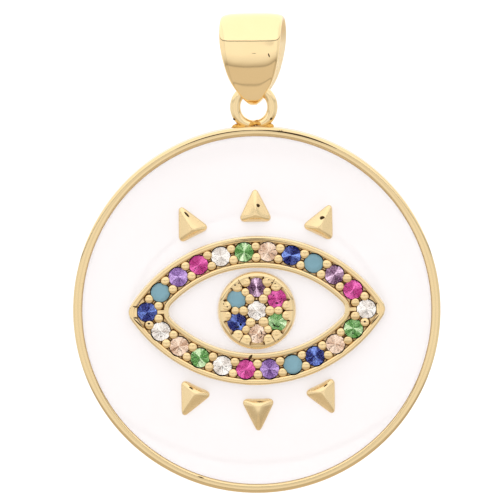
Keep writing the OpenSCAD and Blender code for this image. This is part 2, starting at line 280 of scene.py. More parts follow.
def gold_plate(name, brightness, roughness, waviness, shade_and_polish, tint=(1, 1, 1), shade_reach=0.65):
    """Pale gold plating: slight colour and gloss changes, soft polishing waves in millimetres,
    and painted shade with some old polish in the recesses, from the deepest up to those as open as
    shade_reach."""
    material = bpy.data.materials.new(name)
    material.use_nodes = True
    nodes = material.node_tree.nodes
    links = material.node_tree.links
    shader = nodes["Principled BSDF"]
    shader.inputs["Metallic"].default_value = 1
    where = nodes.new("ShaderNodeTexCoord").outputs["Object"]

    def speckle(scale, detail):
        texture = nodes.new("ShaderNodeTexNoise")
        texture.inputs["Scale"].default_value = scale
        texture.inputs["Detail"].default_value = detail
        links.new(where, texture.inputs["Vector"])
        return texture.outputs["Fac"]

    tone = nodes.new("ShaderNodeMix")
    tone.data_type = "RGBA"
    tone.inputs["A"].default_value = (*[brightness * a * b for a, b in zip(tint, pale_gold)], 1)
    tone.inputs["B"].default_value = (*[brightness * a * b for a, b in zip(tint, deep_gold)], 1)
    links.new(speckle(700, 2), tone.inputs["Factor"])
    # Painted shade: ambient occlusion darkens the colour towards that dark brown in recesses and crevices,
    # where shade falls, with some old polish
    recess = nodes.new("ShaderNodeAmbientOcclusion")
    recess.samples = 6
    recess.inputs["Distance"].default_value = recess_w * MM
    depth = nodes.new("ShaderNodeMapRange")
    depth.interpolation_type = "SMOOTHSTEP"
    depth.inputs["From Min"].default_value = 0.1
    depth.inputs["From Max"].default_value = shade_reach
    depth.inputs["To Min"].default_value = shade_and_polish
    depth.inputs["To Max"].default_value = 0
    links.new(recess.outputs["AO"], depth.inputs["Value"])
    polish_and_shaded = nodes.new("ShaderNodeMix")
    polish_and_shaded.data_type = "RGBA"
    polish_and_shaded.inputs["B"].default_value = polish_and_shade_brown
    links.new(depth.outputs[0], polish_and_shaded.inputs["Factor"])
    links.new(tone.outputs["Result"], polish_and_shaded.inputs["A"])
    links.new(polish_and_shaded.outputs["Result"], shader.inputs["Base Color"])
    gloss = nodes.new("ShaderNodeMapRange")
    gloss.inputs["To Min"].default_value = roughness * 0.7
    gloss.inputs["To Max"].default_value = roughness * 1.5
    links.new(speckle(2500, 4), gloss.inputs["Value"])
    links.new(gloss.outputs[0], shader.inputs["Roughness"])
    waves = nodes.new("ShaderNodeBump")
    waves.inputs["Strength"].default_value = 1
    waves.inputs["Distance"].default_value = waviness * MM
    links.new(speckle(900, 1), waves.inputs["Height"])
    links.new(waves.outputs["Normal"], shader.inputs["Normal"])
    return material


polished_gold = gold_plate("polished_gold", brightness=0.84, roughness=0.10, waviness=0.008, shade_and_polish=0)
# Painted highlight: a brighter, paler gold for steep sides and edges, standing in for their bright thin
# edges
lit_edge_gold = gold_plate("lit_edge_gold", brightness=0.96, roughness=0.12, waviness=0.006, shade_and_polish=0,
                       tint=(1, 1.1, 1.38))
rim_top = [(rim_mid_r + rim_w / 2 * x, rim_h + (y - 1) * rim_dome_h) for x, y in arc((0, 0), 1, 0, 180, 24)]
dish = turned([(0, 0), (disc_r - back_edge, 0), (disc_r, back_edge)] + rim_top
              + [(disc_r - rim_w, plate_t), (0, plate_t)], 256)

# The steep sides of a raised edge are painted a paler gold than its top, a painted highlight, from here down
rim_steep = 0.6
for face in dish.faces:
    face.material_index = int(face.normal.z < rim_steep and face.calc_center_median().z > rim_h - rim_dome_h)
plate = placed("plate_and_rim", dish, on_face, (polished_gold, lit_edge_gold))
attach(plate, "pendant")
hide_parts("case")

# Eye frame: the raised band of the cast face, two round-topped walls with the stones' channel
# between them. A seat is drilled for every stone, and gravers leave the walls bright; their steep sides are
# painted a paler gold still, a painted highlight.
eye_half_w = 8.97
eye_half_h = 5.16
band_w = 2.25
frame_h = 2.0
channel_h = 1.68
outer_tip_r = 1.0
inner_tip_r = 0.75
frame_foot_h = 0.5
wall_round = 0.16
nearly = 0.01
eye_r = (eye_half_w ** 2 + eye_half_h ** 2) / (2 * eye_half_h)
eye_c = eye_r - eye_half_h
tip_steps = 16
lid_steps = 72

# Insets from the eye's outline: the outer wall's two faces and the inner wall's
wall_out = 0.07
channel_in = 0.5
inner_wall_w = 0.4
channel_out = band_w - inner_wall_w


def eye_loop(bm, inset, tip_r, height):
    """The eye's pointed oval drawn in by inset: a point swung round each tip and each lid."""
    before = set(bm.edges)
    tip_x = math.sqrt((eye_r - inset - tip_r) ** 2 - eye_c ** 2)
    turn = math.atan2(eye_c, tip_x)
    first = bm.verts.new((tip_x + tip_r * math.cos(turn), -tip_r * math.sin(turn), height))
    last = first
    lid = math.pi - 2 * turn
    for x, y, angle, steps in ((tip_x, 0, 2 * turn, tip_steps), (0, -eye_c, lid, lid_steps),
                               (-tip_x, 0, 2 * turn, tip_steps), (0, eye_c, lid, lid_steps)):
        swung = bmesh.ops.spin(bm, geom=[last], cent=(x, y, height), axis=(0, 0, 1),
                               angle=angle, steps=steps)
        last = next(v for v in swung["geom_last"] if isinstance(v, bmesh.types.BMVert))
    bmesh.ops.weld_verts(bm, targetmap={last: first})
    return [e for e in bm.edges if e not in before]


def close_ring(bm, loops):
    """Bridges each loop to the next and the last to the first, level pairs before the walls."""
    pairs = list(zip(loops, loops[1:] + loops[:1]))
    for a, b in sorted(pairs, key=lambda pair: abs(pair[0][0].verts[0].co.z - pair[1][0].verts[0].co.z)):
        bmesh.ops.bridge_loops(bm, edges=a + b)
    bmesh.ops.recalc_face_normals(bm, faces=bm.faces)


def outer_side(inset, height):
    """Inset, tip radius and height of a line that follows the band's outer wall."""
    return inset, outer_tip_r - inset, height


def inner_side(inset, height):
    """The same for a line that follows the band's inner wall."""
    return inset, inner_tip_r + band_w - inset, height


def cut(bm, cutter):
    """What is left of one closed mesh when another is taken away from it."""
    whole, tool = [bpy.data.objects.new(n, bpy.data.meshes.new(n)) for n in ("whole", "tool")]
    for part, source in ((whole, bm), (tool, cutter)):
        source.to_mesh(part.data)
        source.free()
        bpy.context.scene.collection.objects.link(part)
    boolean = whole.modifiers.new("cut", "BOOLEAN")
    boolean.operation = "DIFFERENCE"
    boolean.solver = "EXACT"
    boolean.object = tool
    result = bmesh.new()
    result.from_object(whole, bpy.context.evaluated_depsgraph_get())
    for part in (whole, tool):
        mesh = part.data
        bpy.data.objects.remove(part)
        bpy.data.meshes.remove(mesh)
    return result


def stone_place(node):
    """A stone's place on the face, across and up from the disc's centre."""
    low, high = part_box(node)
    middle = (low + high) / 2
    return Vector((middle.x, middle.z - disc_z)) / MM


upper_lid = [f"upper_stone_{i}" for i in range(1, 11)]
lower_lid = [f"lower_stone_{i}" for i in range(1, 11)]
border = ["corner_stone_left"] + upper_lid + ["corner_stone_right"] + lower_lid[::-1]
iris_ring = [f"iris_stone_{i}" for i in range(1, 7)]
stone_r = 0.65
girdle_h = 1.8
seat_r = 0.725
seat_tip_r = 0.08
seat_low_h = 0.95
seat_edge_h = girdle_h - 0.1


def seat_cutters(stones):
    """Drilled seats: a cone under each stone, then a straight wall past its girdle."""
    cutter = bmesh.new()
    for node in stones:
        at = stone_place(node)
        cone_h = seat_edge_h - seat_low_h
        bmesh.ops.create_cone(cutter, cap_ends=True, segments=40, radius1=seat_tip_r, radius2=seat_r,
                              depth=cone_h, matrix=Matrix.Translation((at.x, at.y, seat_low_h + cone_h / 2)))
        top = [f for f in cutter.faces if f.calc_center_median().z > seat_edge_h - nearly
               and (f.calc_center_median().xy - at).length < nearly]
        raised = bmesh.ops.extrude_face_region(cutter, geom=top)
        bmesh.ops.translate(cutter, vec=(0, 0, 1),
                            verts=[v for v in raised["geom"] if isinstance(v, bmesh.types.BMVert)])
        bmesh.ops.delete(cutter, geom=top, context="FACES_ONLY")
    bmesh.ops.recalc_face_normals(cutter, faces=cutter.faces)
    return cutter


bm = bmesh.new()
sections = [outer_side(wall_out, frame_foot_h), outer_side(wall_out, frame_h),
            outer_side(channel_in, frame_h), outer_side(channel_in, channel_h),
            inner_side(channel_out, channel_h), inner_side(channel_out, frame_h),
            inner_side(band_w, frame_h), inner_side(band_w, frame_foot_h)]
loops = [eye_loop(bm, *section) for section in sections]
close_ring(bm, loops)
bmesh.ops.bevel(bm, geom=loops[1] + loops[2] + loops[5] + loops[6], offset=wall_round, affect="EDGES",
                segments=5, profile=0.5, material=-1)
bm = cut(bm, seat_cutters(border))
# The setter's finish, with strong painted shade and some old polish in the crevices round the stones,
# reaching far out
set_gold = gold_plate("set_gold", brightness=0.9, roughness=0.14, waviness=0.006, shade_and_polish=0.9,
                      tint=(1, 0.97, 0.93), shade_reach=0.85)
# Painted shade: a deeper, shaded copy of the gold for the channel and iris floors, fully darkened in their
# recesses
shaded_floor_gold = gold_plate("shaded_floor_gold", brightness=0.86, roughness=0.25, waviness=0.02, shade_and_polish=1,
                         tint=(1, 0.93, 0.85))
# Painted shade: a nearly black copy of the gold for the stones' seats and the discs round the beads' feet,
# which lie in shadow
shade_dark_gold = gold_plate("shade_dark_gold", brightness=0.12, roughness=0.4, waviness=0.02, shade_and_polish=0.5,
                       tint=(1, 0.7, 0.5))
wall_gold = gold_plate("wall_gold", brightness=0.79, roughness=0.12, waviness=0.008, shade_and_polish=0)
frame_metals = (polished_gold, set_gold, shaded_floor_gold, shade_dark_gold, wall_gold, lit_edge_gold)

# How far up a face's normal points: flat floors, steep sides, and faces that look up at all
flat = 0.9
steep = 0.75
upward = 0.1

# Insets where the finish changes: the walls' outward sides, and the part worked by the setter
sides = (wall_out + 0.1, band_w - 0.08)
worked = (wall_out + 0.18, band_w - 0.2)
# Floors get the shaded gold and the seats' walls the nearly black gold, both painted shade; steep outward
# sides get the paler gold, a painted highlight; set_gold's part has painted shade in its crevices
for face in bm.faces:
    at = face.calc_center_median()
    inset = eye_r - math.hypot(at.x, abs(at.y) + eye_c)
    metal = polished_gold
    if seat_low_h < at.z < channel_h + nearly and face.normal.z > upward:
        metal = shaded_floor_gold if face.normal.z > flat else shade_dark_gold
    elif not sides[0] < inset < sides[1]:
        metal = lit_edge_gold if face.normal.z < steep else polished_gold
    elif inset > worked[0]:
        metal = set_gold if inset < worked[1] else wall_gold
    face.material_index = frame_metals.index(metal)
eye_frame = placed("eye_frame", bm, on_face, frame_metals)
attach(eye_frame, "pendant")
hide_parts("case")

# Border beads: small balls of the channel's own metal, raised in pairs between neighbouring
# stones and pushed over their edges. No two are quite alike, and each sits on a thin dark disc, painted
# shade round its foot.
dice = random.Random(7)
bead_r = 0.33
bead_h = 1.77
bead_spread = 0.39
bead_play = 0.06
bead_lean = 14
bead_shift = 0.02
bead_square = 0.6
bead_top = 0.65
bead_foot = 1.3
shade_ring_w = 0.05
shade_ring_t = 0.1
shade_ring_rise = 0.01


def add_bead(bm, place, radius, height, floor_h):
    """One bead, slightly flattened on top and off round, on a thin dark disc of painted shade round its
    foot.
    """
    stretch = [radius * dice.uniform(1 - bead_play, 1 + bead_play) for _ in "xyz"]
    lean = math.radians(dice.uniform(0, bead_lean))
    toward = Vector((dice.uniform(-1, 1), dice.uniform(-1, 1), 0))
    turn = Matrix.Rotation(lean, 4, toward) @ Matrix.Rotation(dice.uniform(0, math.tau), 4, "Z")
    shift = Vector((dice.uniform(-bead_shift, bead_shift), dice.uniform(-bead_shift, bead_shift), 0))
    at = Vector((place.x, place.y, height)) + shift
    ball = bmesh.ops.create_icosphere(bm, subdivisions=3, radius=1)["verts"]
    for vert in ball:
        squared = math.copysign(abs(vert.co.z) ** bead_square, vert.co.z)
        vert.co.z = squared * (bead_top if vert.co.z > 0 else bead_foot)
    ball_place = Matrix.Translation(at) @ turn @ Matrix.Diagonal((*stretch, 1))
    bmesh.ops.transform(bm, matrix=ball_place, verts=ball)
    before = set(bm.faces)
    # Painted shade: a thin disc of the nearly black gold round the bead's foot
    shade_ring_place = Matrix.Translation((at.x, at.y, floor_h + shade_ring_rise - shade_ring_t / 2))
    bmesh.ops.create_cone(bm, cap_ends=True, segments=24, radius1=radius + shade_ring_w, radius2=radius + shade_ring_w,
                          depth=shade_ring_t, matrix=shade_ring_place)
    for face in bm.faces:
        if face not in before:
            face.material_index = 1


bm = bmesh.new()
for node, after in zip(border, border[1:] + border[:1]):
    a, b = stone_place(node), stone_place(after)
    along = (b - a).normalized()
    for side in (-1, 1):
        place = (a + b) / 2 + side * bead_spread * Vector((-along.y, along.x))
        add_bead(bm, place, bead_r, bead_h, channel_h)
border_beads = placed("border_beads", bm, on_face, (set_gold, shade_dark_gold))
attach(border_beads, "pendant")
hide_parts("case")

# Corner holders: at each end of the eye a broad tab and a thin bar of the same metal press on
# the corner stone from its two sides.
tab_l = 0.5
tab_w = 0.8
bar_l = 0.7
bar_w = 0.27
holder_h = 1.97
holder_low_h = channel_h - 0.2
holder_gap = 0.03
holder_edge = 0.05
bm = bmesh.new()
for side, node in ((-1, "corner_stone_left"), (1, "corner_stone_right")):
    corner = stone_place(node)
    for out, length, width in ((1, tab_l, tab_w), (-1, bar_l, bar_w)):
        x = corner.x + side * out * (stone_r + length / 2 + holder_gap)
        at = Matrix.Translation((x, corner.y, (holder_h + holder_low_h) / 2))
        size = Matrix.Diagonal((length, width, holder_h - holder_low_h, 1))
        bmesh.ops.create_cube(bm, size=1, matrix=at @ size)
bmesh.ops.bevel(bm, geom=list(bm.edges), offset=holder_edge, affect="EDGES", segments=3, profile=0.5,
                material=-1)
holders = placed("corner_holders", bm, on_face, set_gold)
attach(holders, "pendant")
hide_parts("case")

# Iris setting: a round boss cast with the face, with a broad polished bevel. Seven seats are
# drilled in its sunk floor, which is cut out square behind each outer stone, and a graver parts
# the beads of each pair.
iris_r = 2.68
iris_bevel = 0.36
iris_pitch = 1.58
iris_floor_h = 1.7
notch_floor_h = 1.56
iris_floor_r = 2.0
iris_worked_r = iris_floor_r + 0.2
notch_w = 1.06
notch_l = 0.8
notch_out = iris_pitch + seat_r + 0.03
groove_mid_r = 2.2
groove_l = 0.55
groove_w = 0.06
groove_depth = 0.15
tool_h = 1


def round_the_iris(angle, out, height, length, width, thick):
    """Six square cutters round the iris, the first at the angle, in one mesh."""
    cutter = bmesh.new()
    block = Matrix.Translation((out, 0, height)) @ Matrix.Diagonal((length, width, thick, 1))
    for sixth in range(6):
        turn = Matrix.Rotation(math.radians(60 * sixth + angle), 4, "Z")
        bmesh.ops.create_cube(cutter, size=1, matrix=turn @ block)
    return cutter


bm = turned([(0, frame_foot_h), (iris_r, frame_foot_h)]
            + arc((iris_r - iris_bevel, frame_h - iris_bevel), iris_bevel, 0, 90, 8)
            + [(0, frame_h)], 144)
floor_cutter = bmesh.new()
bmesh.ops.create_cone(floor_cutter, cap_ends=True, segments=96, radius1=iris_floor_r, radius2=iris_floor_r,
                      depth=tool_h, matrix=Matrix.Translation((0, 0, iris_floor_h + tool_h / 2)))
bm = cut(bm, floor_cutter)
bm = cut(bm, round_the_iris(30, notch_out - notch_l / 2, notch_floor_h + tool_h / 2,
                            notch_l, notch_w, tool_h))
bm = cut(bm, seat_cutters(iris_ring + ["iris_stone_center"]))
bm = cut(bm, round_the_iris(0, groove_mid_r, frame_h, groove_l, groove_w, 2 * groove_depth))
iris_metals = (polished_gold, set_gold, shaded_floor_gold, shade_dark_gold, lit_edge_gold)
# Floors get the shaded gold and the seats' walls the nearly black gold, both painted shade; the bevel's
# steep faces get the paler gold, a painted highlight
for face in bm.faces:
    at = face.calc_center_median()
    if seat_low_h < at.z < iris_floor_h + nearly and face.normal.z > upward:
        metal = shaded_floor_gold if face.normal.z > flat else shade_dark_gold
    elif at.xy.length > iris_r - iris_bevel and face.normal.z < steep:
        metal = lit_edge_gold
    else:
        metal = set_gold if at.xy.length < iris_worked_r else polished_gold
    face.material_index = iris_metals.index(metal)
iris_setting = placed("iris_setting", bm, on_face, iris_metals)
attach(iris_setting, "pendant")
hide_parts("case")

# Iris beads: raised from the boss like the border's, one by the centre stone, a small one
# between two outer stones and a pair outside them at every sixth of the circle.
iris_bead_r = 0.37
small_bead_r = 0.3
small_bead_out = 1.48
pair_out = 2.06
pair_spread = 0.33
bead_rise = 0.02
beads_of_a_sixth = [(iris_pitch / math.sqrt(3), 0, iris_bead_r), (small_bead_out, 0, small_bead_r),
                    (pair_out, -pair_spread, iris_bead_r), (pair_out, pair_spread, iris_bead_r)]
bm = bmesh.new()
for sixth in range(6):
    turn = Matrix.Rotation(math.radians(60 * sixth), 2)
    for along, across, radius in beads_of_a_sixth:
        height = frame_h + bead_rise - bead_top * radius
        add_bead(bm, turn @ Vector((along, across)), radius, height, iris_floor_h)
iris_beads = placed("iris_beads", bm, on_face, (set_gold, shade_dark_gold))
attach(iris_beads, "pendant")
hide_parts("case")

# Lashes: six three-sided spikes cast with the plate, which stand up through the enamel. The
# polishing wheel has rounded their ridges and corners.
lash_l = 2.6
lash_w = 2.58
lash_h = 2.15
lash_wall_h = 1.58
lash_peak = 0.5
lash_corner = 0.56
lash_back = 0.05
lash_crown = 1.8
lash_steep = 0.5

# The three lashes of a lid: turn round the lid's centre, gap to the eye and lean
lashes = [(-21.8, 0.77, 26), (0, 0.89, 0), (21.8, 0.77, -26)]


def lash_places():
    """Where each lash's base line sits: fanned round each eyelid, with its own lean."""
    for flip in (1, -1):
        for turn, gap, lean in lashes:
            yield (Matrix.Diagonal((1, flip, 1, 1)) @ Matrix.Translation((0, -eye_c, 0))
                   @ Matrix.Rotation(math.radians(-turn), 4, "Z") @ Matrix.Translation((0, eye_r + gap, 0))
                   @ Matrix.Rotation(math.radians(turn + lean), 4, "Z"))


bm = bmesh.new()
for place in lash_places():
    lash = bmesh.new()
    corners = [lash.verts.new((x, y - lash_back, frame_foot_h))
               for x, y in ((-lash_w / 2, 0), (lash_w / 2, 0), (0, lash_l))]
    lash.faces.new(corners)
    bmesh.ops.bevel(lash, geom=lash.verts[:], offset=lash_corner, affect="VERTICES", segments=6, profile=0.5)
    tip = Vector((0, lash_peak, 0))
    ring = lash.faces[:]
    was, was_h = 1, frame_foot_h
    for share in (1, 0.88, 0.66, 0.38, 0.1):
        height = lash_wall_h + (lash_h - lash_wall_h) * (1 - share ** lash_crown)
        grown = bmesh.ops.extrude_face_region(lash, geom=ring)["geom"]
        if share < 1:
            bmesh.ops.delete(lash, geom=ring, context="FACES_ONLY")
        ring = [g for g in grown if isinstance(g, bmesh.types.BMFace)]
        bmesh.ops.transform(lash, verts=ring[0].verts, matrix=Matrix.Translation((0, 0, height - was_h))
                            @ Matrix.Translation(tip) @ Matrix.Diagonal((share / was, share / was, 1, 1))
                            @ Matrix.Translation(-tip))
        was, was_h = share, height
    bmesh.ops.recalc_face_normals(lash, faces=lash.faces)
    bmesh.ops.transform(lash, matrix=place, verts=lash.verts)
    lash_mesh = bpy.data.meshes.new("lash")
    lash.to_mesh(lash_mesh)
    lash.free()
    bm.from_mesh(lash_mesh)
    bpy.data.meshes.remove(lash_mesh)
bmesh.ops.recalc_face_normals(bm, faces=bm.faces)
# The lashes' steep faces get the paler gold, a painted highlight
for face in bm.faces:
    face.material_index = int(face.normal.z < lash_steep)
lash_gold = gold_plate("lash_gold", brightness=0.92, roughness=0.22, waviness=0.006, shade_and_polish=0)
lash_spikes = placed("lashes", bm, on_face, (lash_gold, lit_edge_gold), 180)
soft = lash_spikes.modifiers.new("soft", "SUBSURF")
soft.levels = 3
soft.render_levels = 3
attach(lash_spikes, "pendant")
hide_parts("case")

# Face enamel: white soft enamel poured level between the rim and the eye. Its surface creeps up
# a little where it meets metal, and the lashes come up through it.
enamel_h = 1.58
enamel_low_h = 0.7
tuck_w = 0.03
creep_h = 0.14
creep_knee = (0.04, 0.35 * creep_h)
face_creep_w = 0.12
eye_creep_w = 0.1
enamel_white = (0.882, 0.838, 0.835, 1)
enamel_cloud = (0.867, 0.824, 0.82, 1)
ripple_h = 0.004
white_enamel = bpy.data.materials.new("white_enamel")
white_enamel.use_nodes = True
nodes = white_enamel.node_tree.nodes
links = white_enamel.node_tree.links
shader = nodes["Principled BSDF"]
shader.inputs["Roughness"].default_value = 0.08
shader.inputs["IOR"].default_value = 1.52
shader.inputs["Coat Weight"].default_value = 0.3
shader.inputs["Coat Roughness"].default_value = 0.03
where = nodes.new("ShaderNodeTexCoord").outputs["Object"]
cloud = nodes.new("ShaderNodeTexNoise")
cloud.inputs["Scale"].default_value = 260
cloud.inputs["Detail"].default_value = 2
links.new(where, cloud.inputs["Vector"])
milk = nodes.new("ShaderNodeMix")
milk.data_type = "RGBA"
milk.inputs["A"].default_value = enamel_white
milk.inputs["B"].default_value = enamel_cloud
links.new(cloud.outputs["Fac"], milk.inputs["Factor"])
links.new(milk.outputs["Result"], shader.inputs["Base Color"])
ripple = nodes.new("ShaderNodeBump")
ripple.inputs["Strength"].default_value = 1
ripple.inputs["Distance"].default_value = ripple_h * MM
links.new(cloud.outputs["Fac"], ripple.inputs["Height"])
links.new(ripple.outputs["Normal"], shader.inputs["Normal"])


def circle_loop(bm, radius, height):
    """A circle with as many points as the eye's outline, its first one towards the right."""
    before = set(bm.edges)
    bmesh.ops.create_circle(bm, segments=2 * (tip_steps + lid_steps), radius=radius,
                            matrix=Matrix.Translation((0, 0, height)))
    return [e for e in bm.edges if e not in before]


def enamel_edge(creep_w):
    """The enamel's edge from under the metal out to its level top: steps off the metal and heights."""
    knee_w, knee_h = creep_knee
    return [(-tuck_w, enamel_low_h), (-tuck_w, enamel_h + creep_h), (knee_w, enamel_h + knee_h),
            (creep_w, enamel_h)]


bm = bmesh.new()
field_r = disc_r - rim_w
edge = enamel_edge(face_creep_w)
loops = ([circle_loop(bm, field_r - off, height) for off, height in edge]
         + [eye_loop(bm, *outer_side(wall_out - off, height)) for off, height in reversed(edge)])
close_ring(bm, loops)
face_enamel = placed("face_enamel", bm, on_face, white_enamel)
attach(face_enamel, "pendant")
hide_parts("enamel_field")

# Eye enamel: the white of the eye, the same soft enamel, poured level between the frame's inner
# wall and the iris. It creeps up at both.
bm = bmesh.new()
edge = enamel_edge(eye_creep_w)
loops = ([circle_loop(bm, iris_r + off, height) for off, height in edge]
         + [eye_loop(bm, *inner_side(band_w + off, height)) for off, height in reversed(edge)])
close_ring(bm, loops)
eye_enamel = placed("eye_enamel", bm, on_face, white_enamel)
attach(eye_enamel, "pendant")
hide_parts("enamel_eye")

# Ring: a turn of round brass wire, closed, soldered to the top of the rim in the disc's own plane
# and plated with it. It hangs in the bail.
ring_wire_r = 0.36
ring_r = 1.26
ring_rise = 13.8
hang_h = 0.72
bm = bmesh.new()
upright = Matrix.Rotation(math.radians(90), 4, "X")
bmesh.ops.create_circle(bm, segments=28, radius=ring_wire_r,
                        matrix=Matrix.Translation((ring_r, 0, 0)) @ upright)
bmesh.ops.spin(bm, geom=bm.verts[:] + bm.edges[:], cent=(0, 0, 0), axis=(0, 0, 1), angle=math.tau,
               steps=96, use_merge=True)
bmesh.ops.remove_doubles(bm, verts=bm.verts, dist=0.0001)
bmesh.ops.recalc_face_normals(bm, faces=bm.faces)
bmesh.ops.translate(bm, vec=(0, ring_rise, hang_h), verts=bm.verts)
# The wire has painted shade, with some old polish, at half strength in its hollows
wire_gold = gold_plate("wire_gold", brightness=0.9, roughness=0.18, waviness=0.015, shade_and_polish=0.5)
ring = placed("ring", bm, on_face, wire_gold)
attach(ring, "pendant")
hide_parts("case")

# Solder: a rough little fillet of hard solder, more orange than the plating, where the ring
# meets the rim.
solder_y = disc_r - 0.05
broad_bumps = 2.6
broad_bump_h = 0.08
fine_bumps = 9
fine_bump_h = 0.06

# Each lump of it: its place across and up, half its width, height and thickness
solder_lumps = [(-0.1, 0, 1.4, 0.3, 0.4), (0.08, 0.2, 0.6, 0.26, 0.44), (-1.15, -0.02, 0.38, 0.22, 0.3),
                (0.95, -0.02, 0.42, 0.24, 0.3)]

# Vector noise starts from the clock unless it is seeded
noise.seed_set(4)
bm = bmesh.new()
for x, y, half_w, half_h, half_t in solder_lumps:
    at = Matrix.Translation((x, solder_y + y, hang_h))
    bmesh.ops.create_icosphere(bm, subdivisions=4, radius=1,
                               matrix=at @ Matrix.Diagonal((half_w, half_h, half_t, 1)))
for vert in bm.verts:
    vert.co += (broad_bump_h * noise.noise_vector(vert.co * broad_bumps)
                + fine_bump_h * noise.noise_vector(vert.co * fine_bumps))
# The solder's hollows are fully darkened with painted shade and some old polish
solder_gold = gold_plate("solder_gold", brightness=0.72, roughness=0.22, waviness=0.3, shade_and_polish=1,
                         tint=(1, 0.72, 0.3))
solder = placed("solder", bm, on_face, solder_gold, 180)
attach(solder, "pendant")
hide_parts("case")

# Stones: round brilliants, 1.3 mm, cut with a table, eight star and eight kite facets, split
# facets above and below a thin girdle, and a pointed pavilion. Each is set a hair off level.
table_r = stone_r * 0.56
star_r = stone_r * 0.79
lower_r = stone_r * 0.22
girdle_t = 2 * stone_r * 0.03
table_h = 2 * stone_r * 0.15
pavilion_t = 2 * stone_r * 0.42
# How much of a facet's painted light is chance, and how much comes from the side it is painted lit from
glint_chance = 0.6
facet_lit = 0.6
half_step = math.cos(math.radians(22.5))
star_z = girdle_t + table_h * (stone_r - star_r * half_step) / (stone_r - table_r)
lower_z = -pavilion_t * (1 - lower_r * half_step / stone_r)

# The rings of corners from the table down to the point: how many, radius, height and turn
cut_rings = [(8, table_r, girdle_t + table_h, 0), (8, star_r, star_z, 22.5), (16, stone_r, girdle_t, 0),
             (16, stone_r, 0, 0), (8, lower_r, lower_z, 22.5), (1, 0, -pavilion_t, 0)]


def brilliant():
    """The cut stone: its corners ring by ring, wrapped tight, and flat facets made whole. Each facet
    keeps its share of painted light, from painted shade to a painted glint, part chance and part how near it
    is to the stone's painted lit side."""
    bm = bmesh.new()
    for count, radius, height, turn in cut_rings:
        for k in range(count):
            angle = math.tau * k / count + math.radians(turn)
            bmesh.ops.create_vert(bm, co=(radius * math.cos(angle), radius * math.sin(angle), height))
    bmesh.ops.convex_hull(bm, input=bm.verts)
    bmesh.ops.dissolve_limit(bm, angle_limit=math.radians(0.5), verts=bm.verts, edges=bm.edges)
    bmesh.ops.recalc_face_normals(bm, faces=bm.faces)
    share = bm.faces.layers.float.new("facet")
    light_side = dice.uniform(0, math.tau)
    for face in bm.faces:
        at = face.calc_center_median()
        toward = math.cos(math.atan2(at.y, at.x) - light_side) ** 2
        face[share] = min(1, glint_chance * dice.random() + facet_lit * toward ** 3)
        face.material_index = int(face.normal.z < -upward)
    return bm


def linear(*levels):
    """Scene values for a colour given in screen levels from 0 to 255."""
    return [(c / 255 / 12.92) if c < 10.3 else ((c / 255 + 0.055) / 1.055) ** 2.4 for c in levels]


def gem(name, dark, light, contrast):
    """A cut stone: a clear crown, and mirror pavilion facets painted between its shaded and its lit colour,
    painted reflections and glints. Light meets two such facets on its way, so each has the square root of
    the colour."""
    crown = bpy.data.materials.new(name + "_crown")
    crown.use_nodes = True
    shader = crown.node_tree.nodes["Principled BSDF"]
    shader.inputs["Base Color"].default_value = (*[0.7 + 0.3 * c for c in linear(*light)], 1)
    shader.inputs["Roughness"].default_value = 0.0
    shader.inputs["IOR"].default_value = 1.9
    shader.inputs["Specular Tint"].default_value = (0.12, 0.12, 0.12, 1)
    shader.inputs["Transmission Weight"].default_value = 1
    pavilion = bpy.data.materials.new(name + "_pavilion")
    pavilion.use_nodes = True
    nodes = pavilion.node_tree.nodes
    links = pavilion.node_tree.links
    shader = nodes["Principled BSDF"]
    shader.inputs["Metallic"].default_value = 1
    shader.inputs["Roughness"].default_value = 0.04
    facet = nodes.new("ShaderNodeAttribute")
    facet.attribute_name = "facet"
    curve = nodes.new("ShaderNodeMath")
    curve.operation = "POWER"
    curve.inputs[1].default_value = contrast
    links.new(facet.outputs["Fac"], curve.inputs[0])
    tone = nodes.new("ShaderNodeMix")
    tone.data_type = "RGBA"
    tone.inputs["A"].default_value = (*[c ** 0.5 for c in linear(*dark)], 1)
    tone.inputs["B"].default_value = (*[c ** 0.5 for c in linear(*light)], 1)
    links.new(curve.outputs[0], tone.inputs["Factor"])
    links.new(tone.outputs["Result"], shader.inputs["Base Color"])
    return crown, pavilion


# Each stone's shaded and lit colour: its mirrored pavilion facets are painted between them, painted shade
# and painted glints
gems = {
    "clear_stone": gem("clear", (150, 132, 118), (255, 251, 246), 0.33),
    "blue_stone": gem("blue", (14, 14, 70), (160, 188, 255), 1.5),
    "green_stone": gem("green", (45, 105, 30), (240, 255, 220), 1.2),
    "magenta_stone": gem("magenta", (150, 35, 100), (250, 135, 205), 1.0),
    "violet_stone": gem("violet", (100, 66, 125), (225, 195, 245), 1.0),
    "purple_stone": gem("purple", (45, 12, 38), (255, 225, 248), 1.1),
    "champagne_stone": gem("champagne", (160, 116, 86), (255, 236, 218), 0.5),
}
turquoise_deep = (0.15, 0.29, 0.345, 1)
turquoise_pale = (0.20, 0.365, 0.43, 1)
turquoise = bpy.data.materials.new("turquoise_glass")
turquoise.use_nodes = True
nodes = turquoise.node_tree.nodes
links = turquoise.node_tree.links
shader = nodes["Principled BSDF"]
shader.inputs["Roughness"].default_value = 0.25
where = nodes.new("ShaderNodeTexCoord").outputs["Object"]
cloud = nodes.new("ShaderNodeTexNoise")
cloud.inputs["Scale"].default_value = 1200
links.new(where, cloud.inputs["Vector"])
tone = nodes.new("ShaderNodeMix")
tone.data_type = "RGBA"
tone.inputs["A"].default_value = turquoise_deep
tone.inputs["B"].default_value = turquoise_pale
links.new(cloud.outputs["Fac"], tone.inputs["Factor"])
links.new(tone.outputs["Result"], shader.inputs["Base Color"])
gems["turquoise_stone"] = turquoise

